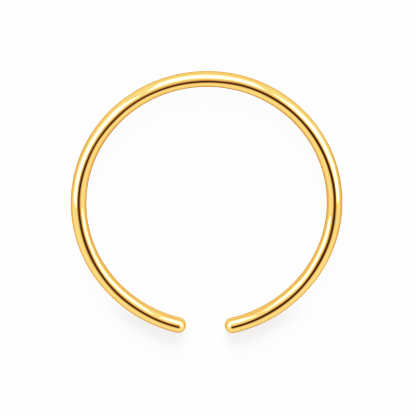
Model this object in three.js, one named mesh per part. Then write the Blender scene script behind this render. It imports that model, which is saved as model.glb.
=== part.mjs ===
// Open hoop nose ring: one length of round, polished gold wire with domed ends, bent into a C.
// The nostril's rim goes through the gap between the ends, and the wire then sits in the piercing.
//
// Units are millimetres and +Z is up. The hoop lies on its side as it would on a table: its
// underside is on z = 0 and the gap between its ends faces -Y. The origin is on the axis that the
// wire is bent round.
import * as THREE from "three";

// Driving dimensions
const WIRE_DIAMETER = 0.6; // 22 gauge, the usual nostril size
const INNER_DIAMETER = 9; // across the inside of the hoop, which is how hoops are sized
const GAP = 1.46; // clear width between the two domed ends

// A bent wire springs open a little next to its ends, where the mandrel no longer holds it.
const END_SWEEP = THREE.MathUtils.degToRad(50); // angle of that stretch, at each end
const END_RELAX = 1.04; // its bend radius, as a multiple of the hoop's

// Faceting
const WIRE_SIDES = 24;
const LENGTH_STEPS = 132;
const DOME_STEPS = 6;

const WIRE_RADIUS = WIRE_DIAMETER / 2;
const CORNER_RADIUS = WIRE_RADIUS / Math.cos(Math.PI / WIRE_SIDES); // the section's flats touch the round
const BEND_RADIUS = (INNER_DIAMETER + WIRE_DIAMETER) / 2;
const END_RADIUS = BEND_RADIUS * END_RELAX;

// The main bend runs from the middle of the wire, opposite the gap, to each relaxed end. Its sweep
// is the angle that leaves GAP between the domes.
function mainSweep() {
  const along = BEND_RADIUS - END_RADIUS + END_RADIUS * Math.cos(END_SWEEP);
  const across = END_RADIUS * Math.sin(END_SWEEP);
  const domeCentre = GAP / 2 + WIRE_RADIUS;
  return (
    Math.PI -
    Math.asin(domeCentre / Math.hypot(along, across)) -
    Math.atan2(across, along)
  );
}

const MAIN_SWEEP = mainSweep();
const MAIN_LENGTH = MAIN_SWEEP * BEND_RADIUS;
const END_LENGTH = END_SWEEP * END_RADIUS;

// Unit vector in the hoop's plane, at an angle counterclockwise from +Y.
function outward(angle) {
  return new THREE.Vector2(-Math.sin(angle), Math.cos(angle));
}

// Where a point of the straight wire goes when the wire is bent. The point is across millimetres
// outside the wire's centreline and along millimetres from its middle. The domes aren't bent.
function bentPoint(across, along) {
  const side = Math.sign(along);
  const run = Math.abs(along);
  const onMain = Math.min(run, MAIN_LENGTH);
  const onEnd = THREE.MathUtils.clamp(run - MAIN_LENGTH, 0, END_LENGTH);
  const pastEnd = run - onMain - onEnd;

  const mainAngle = side * (onMain / BEND_RADIUS);
  const fullAngle = mainAngle + side * (onEnd / END_RADIUS);
  return outward(mainAngle)
    .multiplyScalar(BEND_RADIUS - END_RADIUS)
    .addScaledVector(outward(fullAngle), END_RADIUS + across)
    .addScaledVector(outward(fullAngle + Math.PI / 2), side * pastEnd);
}

// The straight wire with its domed ends, along Y, with a flat side of its section turned down.
function straightWire() {
  return new THREE.CapsuleGeometry(
    CORNER_RADIUS,
    2 * (MAIN_LENGTH + END_LENGTH),
    DOME_STEPS,
    WIRE_SIDES,
    LENGTH_STEPS,
  ).rotateY(Math.PI / WIRE_SIDES);
}

function noseHoop() {
  const geometry = straightWire();
  const position = geometry.getAttribute("position");
  for (let i = 0; i < position.count; i++) {
    const bent = bentPoint(position.getX(i), position.getY(i));
    position.setXY(i, bent.x, bent.y);
  }
  geometry.computeVertexNormals();

  const gold = new THREE.MeshStandardMaterial({
    color: 0xf7cf6d,
    roughness: 0.08,
    metalness: 1,
  });
  const mesh = new THREE.Mesh(geometry, gold);
  mesh.name = "nose_hoop";
  mesh.position.z = WIRE_RADIUS;
  return mesh;
}

const hoop = new THREE.Group();
hoop.add(noseHoop());

export default hoop;
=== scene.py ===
"""Open hoop nose ring of polished yellow gold, lying on its side on a pale studio floor.

The packed model is the fixed frame. The hoop of the frame is faceted, so one smooth piece of wire
stands for it here: the same round wire, bent to the same C, with the same domed ends.
Lengths are in metres and +Z is up. The gap between the ends faces -Y.
"""

import math

import bmesh
import bpy
from mathutils import Matrix, Vector


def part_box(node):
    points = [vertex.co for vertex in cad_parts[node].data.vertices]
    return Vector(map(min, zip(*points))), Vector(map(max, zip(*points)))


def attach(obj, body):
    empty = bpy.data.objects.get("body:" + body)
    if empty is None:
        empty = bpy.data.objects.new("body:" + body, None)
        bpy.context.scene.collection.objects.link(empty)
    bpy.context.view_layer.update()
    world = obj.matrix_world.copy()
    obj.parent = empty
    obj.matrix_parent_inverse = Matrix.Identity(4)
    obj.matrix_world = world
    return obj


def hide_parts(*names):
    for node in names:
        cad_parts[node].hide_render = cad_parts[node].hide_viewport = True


bl_info = {
    "name": "Open Hoop Nose Ring",
    "version": (1, 0, 0),
    "blender": (4, 5, 0),
    "location": "3D View > Sidebar > Nose Hoop",
    "description": "Polished gold nose hoop with domed ends, and the studio it lies in",
    "category": "Add Mesh",
}

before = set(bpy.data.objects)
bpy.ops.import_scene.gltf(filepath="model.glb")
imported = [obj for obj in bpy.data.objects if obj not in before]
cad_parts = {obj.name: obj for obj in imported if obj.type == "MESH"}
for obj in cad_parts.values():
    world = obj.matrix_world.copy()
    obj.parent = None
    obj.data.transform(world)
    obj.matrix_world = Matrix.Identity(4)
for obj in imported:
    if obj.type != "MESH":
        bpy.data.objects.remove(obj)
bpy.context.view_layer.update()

HOOP_NODE = "nose_hoop"
HOOP_LOW, HOOP_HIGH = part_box(HOOP_NODE)
MIDDLE = Vector((0, 0, HOOP_HIGH.z / 2))  # the point that the wire is bent round

# Faceting of the wire
WIRE_SIDES = 96
MAIN_STEPS = 220
END_STEPS = 90
DOME_STEPS = 24
SAME_POINT = 1e-7  # corners closer than this are one corner
MM_PER_METRE = 1000

# Texture of the gold: how often it repeats, per millimetre along the wire and round it, or per metre
DRAW_LINES_PER_MM = (0.15, 12.0)
WAVES_PER_MM = (0.35, 1.6)
HAZE_PATCHES_PER_METRE = 450.0
WARM_PATCHES_PER_METRE = 160.0
RUB_MARKS_PER_METRE = 2600.0
HAZE_STARTS = (0.45, 0.75)  # strength of the patches over which the haze sets in
HAZE_LEFT_BY_RUBBING = 0.4  # share of the haze that stays where the wire is rubbed most

FLOOR_RADIUS = 2.0
FLOOR_SIDES = 128
MIRRORED_LEVEL = -0.00001  # just under the floor that the camera sees
LIGHT_ON_FLOOR = 1.89  # brightness of a white card on the floor
SHADE_STARTS = (-0.0047, -0.0037)  # between these the shade changes from front to back
# The mirrored floor is painted shade: a darker copy of the floor that only the gold sees, darkest
# across the middle.
PALER_FLOOR = 0.07  # how much paler the mirrored floor is in front of and behind the middle
PALER_FROM = (0.0015, 0.004)  # distance from the middle over which it turns paler

# The window light behind the closed side draws the shadows on the floor.
WINDOW_TILT = math.radians(64)
WINDOW_DISTANCE = 0.5
WINDOW_WIDTH = 0.34
WINDOW_DEPTH = 0.22
WINDOW_BRIGHTNESS = 26
# Equal softboxes stand side by side in an arc behind the hoop and look down at it.
SOFTBOX_COUNT = 3
SOFTBOX_SPACING = math.radians(75)
SOFTBOX_TILT = math.radians(52)
SOFTBOX_DISTANCE = 0.03
SOFTBOX_WIDTH = 0.027
SOFTBOX_DEPTH = 0.016
# A square black card hangs in the place that the top of the wire mirrors to the camera.
CARD_DISTANCE = 0.06
CARD_SIDE = 0.046
CARD_FADE = 0.044  # width of its soft edge
CARD_ROLL = math.radians(45)

# The film shows 1 - exp(-speed * light ** contrast).
FILM_SPEED = 3.0
FILM_CONTRAST = 1.5
FILM_BRIGHTEST = 2.5  # light at which its curve ends
FILM_STEPS = 16
SENSOR_WIDTH = 36  # millimetres
NEAREST_SEEN = 0.001  # what is nearer to the camera than this is not drawn


def framed_half_gap():
    """Half the clear width between the two domed ends of the hoop in the frame."""
    corners = (corner.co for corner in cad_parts[HOOP_NODE].data.vertices)
    return min(abs(corner.x) for corner in corners if corner.y < 0)


# ---------------------------------------------------------------- settings


class HoopSizes(bpy.types.PropertyGroup):
    """Sizes of the bent wire"""

    wire_diameter: bpy.props.FloatProperty(
        name="Wire diameter",
        description="Thickness of the round wire",
        default=HOOP_HIGH.z - HOOP_LOW.z,
        min=0.0002,
        unit="LENGTH",
        precision=5,
    )
    outer_diameter: bpy.props.FloatProperty(
        name="Outer diameter",
        description="Width of the hoop from outside to outside",
        default=2 * HOOP_HIGH.y,
        min=0.004,
        unit="LENGTH",
        precision=5,
    )
    end_gap: bpy.props.FloatProperty(
        name="End gap",
        description="Clear width between the two domed ends",
        default=2 * framed_half_gap(),
        min=0.0005,
        unit="LENGTH",
        precision=5,
    )
    end_sweep: bpy.props.FloatProperty(
        name="End sweep",
        description="Angle of the stretch next to each end that has sprung open a little",
        default=math.radians(50),
        subtype="ANGLE",
    )
    end_relax: bpy.props.FloatProperty(
        name="End relax",
        description="Bend radius of those stretches, as a multiple of the hoop's",
        default=1.04,
        min=1.0,
        subtype="FACTOR",
    )


class GoldLooks(bpy.types.PropertyGroup):
    """Finish of the gold wire"""

    colour: bpy.props.FloatVectorProperty(
        name="Gold",
        description="Colour that the polished gold gives to what it reflects",
        default=(1.0, 0.54, 0.19),
        min=0,
        max=1,
        subtype="COLOR",
    )
    warm_colour: bpy.props.FloatVectorProperty(
        name="Warm gold",
        description="Colour of the slightly redder patches of the alloy",
        default=(0.985, 0.515, 0.175),
        min=0,
        max=1,
        subtype="COLOR",
    )
    edge_colour: bpy.props.FloatVectorProperty(
        name="Edge gold",
        description="Colour of the gold where it is seen at a glancing angle",
        default=(0.65, 0.43, 0.22),
        min=0,
        max=1,
        subtype="COLOR",
    )
    polish: bpy.props.FloatProperty(
        name="Polish roughness",
        description="Roughness of the best polished places",
        default=0.03,
        min=0,
        max=1,
        subtype="FACTOR",
    )
    haze: bpy.props.FloatProperty(
        name="Haze",
        description="Roughness that handling adds to the polish in patches",
        default=0.03,
        min=0,
        max=1,
        subtype="FACTOR",
    )
    waves: bpy.props.FloatProperty(
        name="Waves",
        description="Depth of the slow waves that polishing by hand leaves in the surface",
        default=0.00005,
        min=0,
        unit="LENGTH",
        precision=6,
    )
    draw_lines: bpy.props.FloatProperty(
        name="Draw lines",
        description="Depth of the faint lines that the drawing die leaves along the wire",
        default=0.0000025,
        min=0,
        unit="LENGTH",
        precision=8,
    )


class StudioSet(bpy.types.PropertyGroup):
    """Floor, lights and camera"""

    floor_brightness: bpy.props.FloatProperty(
        name="Floor brightness",
        description="Brightness of the clear floor",
        default=1.24,
        min=0,
    )
    # The light from above gives only these shares of the floor's brightness; a painted glow makes up
    # the rest and fills in the shadows.
    shade_at_back: bpy.props.FloatProperty(
        name="Shade at the back",
        description="Strength of the shadows on the floor under the closed side",
        default=0.2,
        min=0,
        max=1,
        subtype="FACTOR",
    )
    shade_at_front: bpy.props.FloatProperty(
        name="Shade at the front",
        description="Strength of the shadows on the floor under the two ends",
        default=0.7,
        min=0,
        max=1,
        subtype="FACTOR",
    )
    # Painted shade: the mirrored floor is darker than the floor that the camera sees.
    mirrored_floor: bpy.props.FloatProperty(
        name="Mirrored floor",
        description="Grey of the floor beside the hoop, as the polished gold mirrors it",
        default=0.36,
        min=0,
        max=1,
    )
    surroundings: bpy.props.FloatProperty(
        name="Surroundings",
        description="Brightness of the pale tent round the hoop",
        default=1.06,
        min=0,
    )
    black_card: bpy.props.FloatProperty(
        name="Black card",
        description="Brightness of the black card that the gold mirrors",
        default=0.025,
        min=0,
    )
    softbox_brightness: bpy.props.FloatProperty(
        name="Softboxes",
        description="Brightness of the softboxes that the gold mirrors",
        default=4.5,
        min=0,
    )
    camera_distance: bpy.props.FloatProperty(
        name="Camera distance",
        description="Distance from the middle of the hoop to the camera",
        default=0.0773,
        unit="LENGTH",
    )
    camera_tilt: bpy.props.FloatProperty(
        name="Camera tilt",
        description="Angle of the view away from straight down on the hoop",
        default=math.radians(15.2),
        subtype="ANGLE",
    )
    camera_turn: bpy.props.FloatProperty(
        name="Camera turn",
        description="Turn of the camera round the hoop, from behind its closed side",
        default=math.radians(3.6),
        subtype="ANGLE",
    )
    camera_roll: bpy.props.FloatProperty(
        name="Camera roll",
        description="Turn of the picture about the line of sight",
        default=math.radians(-3.1),
        subtype="ANGLE",
    )
    lens: bpy.props.FloatProperty(
        name="Lens",
        description="Focal length of the camera, in millimetres",
        default=178.4,
        unit="CAMERA",
    )
    lens_shift: bpy.props.FloatVectorProperty(
        name="Lens shift",
        description="Shift of the picture that centres the hoop in it, across and up",
        default=(0.0031, -0.0084),
        size=2,
    )


# ---------------------------------------------------------------- shader maths


class Value:
    """A socket that can be used in sums, so that a mask reads as it is meant."""

    def __init__(self, tree, socket):
        self.tree = tree
        self.socket = socket

    def sum(self, operation, *values):
        return self.tree.node("ShaderNodeMath", {"operation": operation}, dict(enumerate(values)))

    def __add__(self, other):
        return self.sum("ADD", self, other)

    def __rsub__(self, other):
        return self.sum("SUBTRACT", other, self)

    def __mul__(self, other):
        return self.sum("MULTIPLY", self, other)

    __radd__ = __add__
    __rmul__ = __mul__

    def __abs__(self):
        return self.sum("ABSOLUTE", self)

    def smoothly(self, low, high):
        """0 below the low value and 1 above the high one, with a smooth change between them."""
        settings = {"interpolation_type": "SMOOTHSTEP"}
        return self.tree.node(
            "ShaderNodeMapRange", settings, {"Value": self, "From Min": low, "From Max": high}
        )


class ShaderTree:
    """The nodes of a material or a world, added one by one and joined as they come."""

    def __init__(self, owner):
        owner.use_nodes = True
        self.tree = owner.node_tree
        self.tree.nodes.clear()

    def node(self, kind, settings, sockets, *outputs):
        """Adds a node with its settings, then its sockets' values or links; gives its output.

        It gives the first output in use, or one for each name that is asked for."""
        made = self.tree.nodes.new(kind)
        for name, setting in settings.items():
            setattr(made, name, setting)
        for key, value in sockets.items():
            if isinstance(key, int):
                socket = made.inputs[key]
            else:
                socket = next(each for each in made.inputs if each.enabled and each.name == key)
            if isinstance(value, Value):
                self.tree.links.new(value.socket, socket)
            else:
                socket.default_value = value
        if not outputs:
            return Value(self, next((each for each in made.outputs if each.enabled), None))
        values = [Value(self, made.outputs[name]) for name in outputs]
        return values if len(values) > 1 else values[0]

    def grey_between(self, factor, dark, light):
        """A grey that goes from dark to light with the factor."""
        return self.node(
            "ShaderNodeMix",
            {"data_type": "RGBA"},
            {"Factor": factor, "A": (dark, dark, dark, 1), "B": (light, light, light, 1)},
        )


# ---------------------------------------------------------------- the hoop


def arc_to_end(sizes, bend_radius, end_radius, wire_radius):
    """Angle from the middle of the hoop's closed side to where the sprung-open stretch starts."""
    along = bend_radius - end_radius + end_radius * math.cos(sizes.end_sweep)
    across = end_radius * math.sin(sizes.end_sweep)
    dome_middle = math.asin((sizes.end_gap / 2 + wire_radius) / math.hypot(along, across))
    return math.pi - dome_middle - math.atan2(across, along)


def outward(angle):
    """Direction from the hoop's middle at an angle from the middle of its closed side."""
    return Vector((-math.sin(angle), math.cos(angle), 0))


def edges_of(geometry):
    return [part for part in geometry if isinstance(part, bmesh.types.BMEdge)]


def verts_of(geometry):
    return [part for part in geometry if isinstance(part, bmesh.types.BMVert)]


def bend(shell, ring, centre, angle, steps):
    """Carries a ring of edges round a centre and returns the ring at the far end."""
    swept = bmesh.ops.spin(
        shell, geom=ring, cent=centre, axis=(0, 0, 1), angle=angle, steps=steps
    )
    return edges_of(swept["geom_last"])


def dome(shell, ring, middle, forward, radius, steps):
    """Closes the wire with a half-round end."""
    for step in range(1, steps):
        before, after = ((step + shift) / steps * math.pi / 2 for shift in (-1, 0))
        grown = bmesh.ops.extrude_edge_only(shell, edges=ring)["geom"]
        ring, corners = edges_of(grown), verts_of(grown)
        rise = radius * (math.sin(after) - math.sin(before))
        bmesh.ops.translate(shell, verts=corners, vec=forward * rise)
        level = middle + forward * radius * math.sin(after)
        shrink = math.cos(after) / math.cos(before)
        bmesh.ops.scale(
            shell, verts=corners, vec=(shrink, shrink, shrink), space=Matrix.Translation(-level)
        )
    grown = bmesh.ops.extrude_edge_only(shell, edges=ring)["geom"]
    bmesh.ops.pointmerge(shell, verts=verts_of(grown), merge_co=middle + forward * radius)


def unwrap_along(shell, sizes, bend_radius, end_radius, main_sweep):
    """Gives the wire a UV map in millimetres: U runs along the wire and V round it."""
    layer = shell.loops.layers.uv.new("along_wire")
    for face in shell.faces:
        whole_turn = None
        for loop in face.loops:
            point = loop.vert.co
            side = -1 if face.calc_center_median().x > 0 else 1
            angle = math.atan2(-point.x * side, point.y)
            centre, radius, start = Vector(), bend_radius, 0
            if angle > main_sweep:
                centre = outward(main_sweep * side) * (bend_radius - end_radius)
                radius, start = end_radius, main_sweep
            arm = point - centre
            turned = math.atan2(-arm.x * side, arm.y)
            if start and turned < 0:
                turned += 2 * math.pi
            across = math.hypot(arm.x, arm.y) - radius
            round_wire = math.atan2(across, point.z - MIDDLE.z)
            if whole_turn is None:
                whole_turn = round_wire
            if round_wire - whole_turn > math.pi:
                round_wire -= 2 * math.pi
            if whole_turn - round_wire > math.pi:
                round_wire += 2 * math.pi
            length = start * bend_radius + (turned - start) * radius
            loop[layer].uv = (
                side * length * MM_PER_METRE,
                round_wire * sizes.wire_diameter / 2 * MM_PER_METRE,
            )


def hoop_mesh(sizes):
    """The whole hoop: half of it is swept from the middle of the closed side, then mirrored."""
    wire_radius = sizes.wire_diameter / 2
    bend_radius = sizes.outer_diameter / 2 - wire_radius
    end_radius = bend_radius * sizes.end_relax
    main_sweep = arc_to_end(sizes, bend_radius, end_radius, wire_radius)
    end_centre = MIDDLE + outward(main_sweep) * (bend_radius - end_radius)
    end_angle = main_sweep + sizes.end_sweep

    shell = bmesh.new()
    bmesh.ops.create_circle(
        shell,
        cap_ends=False,
        radius=wire_radius,
        segments=WIRE_SIDES,
        matrix=Matrix.Translation(MIDDLE + outward(0) * bend_radius)
        @ Matrix.Rotation(math.pi / 2, 4, "Y"),
    )
    ring = bend(shell, shell.edges[:], MIDDLE, main_sweep, MAIN_STEPS)
    ring = bend(shell, ring, end_centre, sizes.end_sweep, END_STEPS)
    dome(
        shell,
        ring,
        end_centre + outward(end_angle) * end_radius,
        Vector((-math.cos(end_angle), -math.sin(end_angle), 0)),
        wire_radius,
        DOME_STEPS,
    )
    bmesh.ops.mirror(
        shell,
        geom=[*shell.verts, *shell.edges, *shell.faces],
        matrix=Matrix.Identity(4),
        merge_dist=SAME_POINT,
        axis="X",
    )
    bmesh.ops.remove_doubles(shell, verts=shell.verts, dist=SAME_POINT)
    bmesh.ops.recalc_face_normals(shell, faces=shell.faces)
    unwrap_along(shell, sizes, bend_radius, end_radius, main_sweep)
    for face in shell.faces:
        face.smooth = True
    mesh = bpy.data.meshes.new("gold_hoop")
    shell.to_mesh(mesh)
    shell.free()
    return mesh


def gold_material(looks):
    """Mirror-polished yellow gold with faint draw lines, haze from handling and warmer patches."""
    material = bpy.data.materials.new("polished_gold")
    tree = ShaderTree(material)
    wire = tree.node("ShaderNodeTexCoord", {}, {}, "UV")
    place = tree.node("ShaderNodeTexCoord", {}, {}, "Object")

    def noise(vector, **sockets):
        named = {name.capitalize(): value for name, value in sockets.items()}
        return tree.node("ShaderNodeTexNoise", {}, {"Vector": vector, **named})

    def along_wire(per_mm):
        return tree.node("ShaderNodeMapping", {}, {"Vector": wire, "Scale": (*per_mm, 1.0)})

    lines = noise(along_wire(DRAW_LINES_PER_MM), scale=1.0, detail=1.0)
    slow = noise(along_wire(WAVES_PER_MM), scale=1.0, detail=1.0)
    patches = noise(place, scale=HAZE_PATCHES_PER_METRE, detail=4.0)
    alloy = noise(place, scale=WARM_PATCHES_PER_METRE, detail=2.0)
    rub = noise(place, scale=RUB_MARKS_PER_METRE, detail=6.0, roughness=0.7)

    rubbed = HAZE_LEFT_BY_RUBBING + (1 - HAZE_LEFT_BY_RUBBING) * rub
    haze = patches.smoothly(*HAZE_STARTS) * rubbed
    roughness = looks.polish + looks.haze * haze
    colour = tree.node(
        "ShaderNodeMix",
        {"data_type": "RGBA"},
        {"Factor": alloy, "A": (*looks.colour, 1), "B": (*looks.warm_colour, 1)},
    )
    waves = tree.node(
        "ShaderNodeBump", {}, {"Height": slow, "Distance": looks.waves, "Strength": 1.0}
    )
    bump = tree.node(
        "ShaderNodeBump",
        {},
        {"Height": lines, "Distance": looks.draw_lines, "Strength": 1.0, "Normal": waves},
    )
    gold = tree.node(
        "ShaderNodeBsdfPrincipled",
        {},
        {
            "Base Color": colour,
            "Metallic": 1.0,
            "Roughness": roughness,
            "Specular Tint": (*looks.edge_colour, 1),
            "Normal": bump,
        },
    )
    tree.node("ShaderNodeOutputMaterial", {}, {"Surface": gold})
    return material


# ---------------------------------------------------------------- the studio


def facing_hoop(turn, tilt, distance, roll=0.0):
    """Place of something that looks at the hoop, with its back side up and away.

    It is turned round the hoop from behind its closed side, and tilted from straight above."""
    return (
        Matrix.Translation(MIDDLE)
        @ Matrix.Rotation(turn, 4, "Z")
        @ Matrix.Rotation(-tilt, 4, "X")
        @ Matrix.Translation((0, 0, distance))
        @ Matrix.Rotation(roll, 4, "Z")
    )


def put_in_scene(scene, name, data):
    """Makes an object of a mesh, light or camera."""
    made = bpy.data.objects.new(name, data)
    scene.collection.objects.link(made)
    return made


def seen_by(thing, *rays):
    """Lets only the named kinds of rays meet a thing of the studio."""
    for ray in ("camera", "diffuse", "glossy", "transmission", "volume_scatter", "shadow"):
        setattr(thing, "visible_" + ray, ray in rays)


def floor_material(studio):
    """Matt pale card lit from above, with a painted glow: emission that fills in its shadows, a
    little at the front and most at the back.
    """
    material = bpy.data.materials.new("pale_floor")
    tree = ShaderTree(material)
    place = tree.node("ShaderNodeTexCoord", {}, {}, "Object")
    back = tree.node("ShaderNodeSeparateXYZ", {}, {"Vector": place}, "Y")
    front = 1 - back.smoothly(*SHADE_STARTS)
    from_above = studio.shade_at_back + (studio.shade_at_front - studio.shade_at_back) * front
    card = tree.node(
        "ShaderNodeBsdfPrincipled",
        {},
        {
            "Base Color": tree.grey_between(from_above, 0, studio.floor_brightness / LIGHT_ON_FLOOR),
            # Painted glow: the emission makes up the brightness that the light from above does not
            # give, and so fills in the shadows.
            "Emission Color": tree.grey_between(from_above, studio.floor_brightness, 0),
            "Emission Strength": 1.0,
            "Roughness": 1.0,
            "Specular IOR Level": 0.0,
        },
    )
    tree.node("ShaderNodeOutputMaterial", {}, {"Surface": card})
    return material


def mirrored_floor_material(grey):
    """A darker copy of the floor that only the polished gold mirrors: painted shade in the gold's
    reflections, darkest across the middle and paler in front of and behind it.
    """
    material = bpy.data.materials.new("mirrored_floor")
    tree = ShaderTree(material)
    place = tree.node("ShaderNodeTexCoord", {}, {}, "Object")
    back = tree.node("ShaderNodeSeparateXYZ", {}, {"Vector": place}, "Y")
    pale = abs(back).smoothly(*PALER_FROM)
    card = tree.node(
        "ShaderNodeBsdfPrincipled",
        {},
        {
            "Base Color": tree.grey_between(pale, grey, grey + PALER_FLOOR),
            "Roughness": 1.0,
            "Specular IOR Level": 0.0,
        },
    )
    tree.node("ShaderNodeOutputMaterial", {}, {"Surface": card})
    return material


def black_card_material(grey):
    """Matt black card whose edges fade out."""
    material = bpy.data.materials.new("black_card")
    tree = ShaderTree(material)
    place = tree.node("ShaderNodeTexCoord", {}, {}, "Object")
    across, along = tree.node("ShaderNodeSeparateXYZ", {}, {"Vector": place}, "X", "Y")

    def inside(distance):
        edge = abs(distance).smoothly((CARD_SIDE - CARD_FADE) / 2, (CARD_SIDE + CARD_FADE) / 2)
        return 1 - edge

    clear = tree.node("ShaderNodeBsdfTransparent", {}, {})
    card = tree.node("ShaderNodeEmission", {}, {"Color": (grey, grey, grey, 1)})
    cover = inside(across) * inside(along)
    faded = tree.node("ShaderNodeMixShader", {}, {0: cover, 1: clear, 2: card})
    tree.node("ShaderNodeOutputMaterial", {}, {"Surface": faded})
    return material


def floor_disc(scene, name, level, material):
    """A wide round floor at a height."""
    disc = bmesh.new()
    bmesh.ops.create_circle(
        disc,
        cap_ends=True,
        radius=FLOOR_RADIUS,
        segments=FLOOR_SIDES,
        matrix=Matrix.Translation((0, 0, level)),
    )
    mesh = bpy.data.meshes.new(name)
    disc.to_mesh(mesh)
    disc.free()
    mesh.materials.append(material)
    floor = put_in_scene(scene, name, mesh)
    return floor


def soft_light(scene, name, place, width, depth, brightness):
    """A rectangular light that is equally bright all over."""
    light = bpy.data.lights.new(name, "AREA")
    light.shape = "RECTANGLE"
    light.size = width
    light.size_y = depth
    light.energy = brightness * math.pi * width * depth
    made = put_in_scene(scene, name, light)
    made.matrix_world = place
    return made


def window_light(scene):
    """The broad light behind the closed side that draws the soft shadows on the floor."""
    place = facing_hoop(0.0, WINDOW_TILT, WINDOW_DISTANCE)
    window = soft_light(
        scene, "window_light", place, WINDOW_WIDTH, WINDOW_DEPTH, WINDOW_BRIGHTNESS
    )
    seen_by(window, "diffuse", "shadow")


def floors(scene, studio):
    """The floor that the camera sees, and just under it a darker copy that only the gold mirrors,
    which paints shade into the gold's reflections.
    """
    seen_by(floor_disc(scene, "floor", 0.0, floor_material(studio)), "camera")
    mirrored = mirrored_floor_material(studio.mirrored_floor)
    seen_by(floor_disc(scene, "mirrored_floor", MIRRORED_LEVEL, mirrored), "glossy", "shadow")


def softboxes(scene, studio):
    """Equal softboxes side by side in an arc behind the hoop, which only the gold mirrors."""
    for index in range(SOFTBOX_COUNT):
        turn = (index - (SOFTBOX_COUNT - 1) / 2) * SOFTBOX_SPACING
        place = facing_hoop(turn, SOFTBOX_TILT, SOFTBOX_DISTANCE)
        box = soft_light(
            scene,
            f"softbox_{index + 1}",
            place,
            SOFTBOX_WIDTH,
            SOFTBOX_DEPTH,
            studio.softbox_brightness,
        )
        seen_by(box, "glossy")


def black_card(scene, studio):
    """A card with soft edges that only the polished gold mirrors."""
    flat = bmesh.new()
    bmesh.ops.create_grid(flat, x_segments=1, y_segments=1, size=0.5)
    whole = CARD_SIDE + CARD_FADE
    bmesh.ops.scale(flat, verts=flat.verts, vec=(whole, whole, 1))
    mesh = bpy.data.meshes.new("black_card")
    flat.to_mesh(mesh)
    flat.free()
    mesh.materials.append(black_card_material(studio.black_card))
    card = put_in_scene(scene, "black_card", mesh)
    turn = studio.camera_turn + math.pi
    card.matrix_world = facing_hoop(turn, studio.camera_tilt, CARD_DISTANCE, CARD_ROLL)
    seen_by(card, "glossy")


def studio_camera(scene, studio):
    """The camera, nearly straight above the hoop."""
    lens = bpy.data.cameras.new("camera")
    lens.lens = studio.lens
    lens.sensor_width = SENSOR_WIDTH
    lens.clip_start = NEAREST_SEEN
    lens.shift_x, lens.shift_y = studio.lens_shift
    camera = put_in_scene(scene, "camera", lens)
    camera.matrix_world = facing_hoop(
        studio.camera_turn, studio.camera_tilt, studio.camera_distance, studio.camera_roll
    )
    scene.camera = camera


def pale_tent(studio):
    """Even, pale surroundings."""
    world = bpy.data.worlds.new("pale_tent")
    tree = ShaderTree(world)
    sockets = {"Color": (1, 1, 1, 1), "Strength": studio.surroundings}
    tent = tree.node("ShaderNodeBackground", {}, sockets)
    tree.node("ShaderNodeOutputWorld", {}, {"Surface": tent})
    return world


def film_response(scene):
    """Gives the picture the contrast of a film: deep darks and a soft shoulder."""
    view = scene.view_settings
    view.view_transform = "Standard"
    view.look = "None"
    view.use_curve_mapping = True
    curve = view.curve_mapping
    curve.white_level = (FILM_BRIGHTEST, FILM_BRIGHTEST, FILM_BRIGHTEST)
    curve.extend = "HORIZONTAL"
    # The fourth curve is the one that red, green and blue share.
    points = curve.curves[3].points
    for step in range(1, FILM_STEPS):
        share = (step / FILM_STEPS) ** 2
        light = share * FILM_BRIGHTEST
        points.new(share, 1 - math.exp(-FILM_SPEED * light**FILM_CONTRAST))
    curve.update()


# ---------------------------------------------------------------- operators


class AddGoldHoop(bpy.types.Operator):
    """Adds the bent gold wire with its domed ends"""

    bl_idname = "nose_hoop.add_hoop"
    bl_label = "Gold Hoop"

    def execute(self, context):
        piece = bpy.data.objects.new("gold_hoop", hoop_mesh(context.scene.hoop_sizes))
        piece.data.materials.append(gold_material(context.scene.gold_looks))
        context.scene.collection.objects.link(piece)
        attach(piece, "root")
        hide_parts(HOOP_NODE)
        return {"FINISHED"}


class AddStudio(bpy.types.Operator):
    """Adds the pale floor, the light and the camera"""

    bl_idname = "nose_hoop.add_studio"
    bl_label = "Studio"

    def execute(self, context):
        scene = context.scene
        studio = scene.studio_set
        floors(scene, studio)
        scene.world = pale_tent(studio)
        window_light(scene)
        softboxes(scene, studio)
        black_card(scene, studio)
        film_response(scene)
        studio_camera(scene, studio)
        return {"FINISHED"}


class NoseHoopPanel(bpy.types.Panel):
    """Lists what the file can add, and its settings"""

    bl_idname = "VIEW3D_PT_nose_hoop"
    bl_label = "Nose Hoop"
    bl_space_type = "VIEW_3D"
    bl_region_type = "UI"
    bl_category = "Nose Hoop"

    def draw(self, context):
        column = self.layout.column()
        for operator in OPERATORS:
            column.operator(operator.bl_idname)
        for name, group in GROUPS.items():
            column.label(text=group.__doc__)
            for setting in group.__annotations__:
                column.prop(getattr(context.scene, name), setting)


OPERATORS = (AddGoldHoop, AddStudio)
GROUPS = {"hoop_sizes": HoopSizes, "gold_looks": GoldLooks, "studio_set": StudioSet}


def register():
    for each in (*GROUPS.values(), *OPERATORS, NoseHoopPanel):
        bpy.utils.register_class(each)
    for name, group in GROUPS.items():
        setattr(bpy.types.Scene, name, bpy.props.PointerProperty(type=group))


def unregister():
    for name in GROUPS:
        delattr(bpy.types.Scene, name)
    for each in reversed((*GROUPS.values(), *OPERATORS, NoseHoopPanel)):
        bpy.utils.unregister_class(each)


def main():
    register()
    bpy.ops.nose_hoop.add_hoop()
    bpy.ops.nose_hoop.add_studio()


if __name__ == "__main__":
    main()
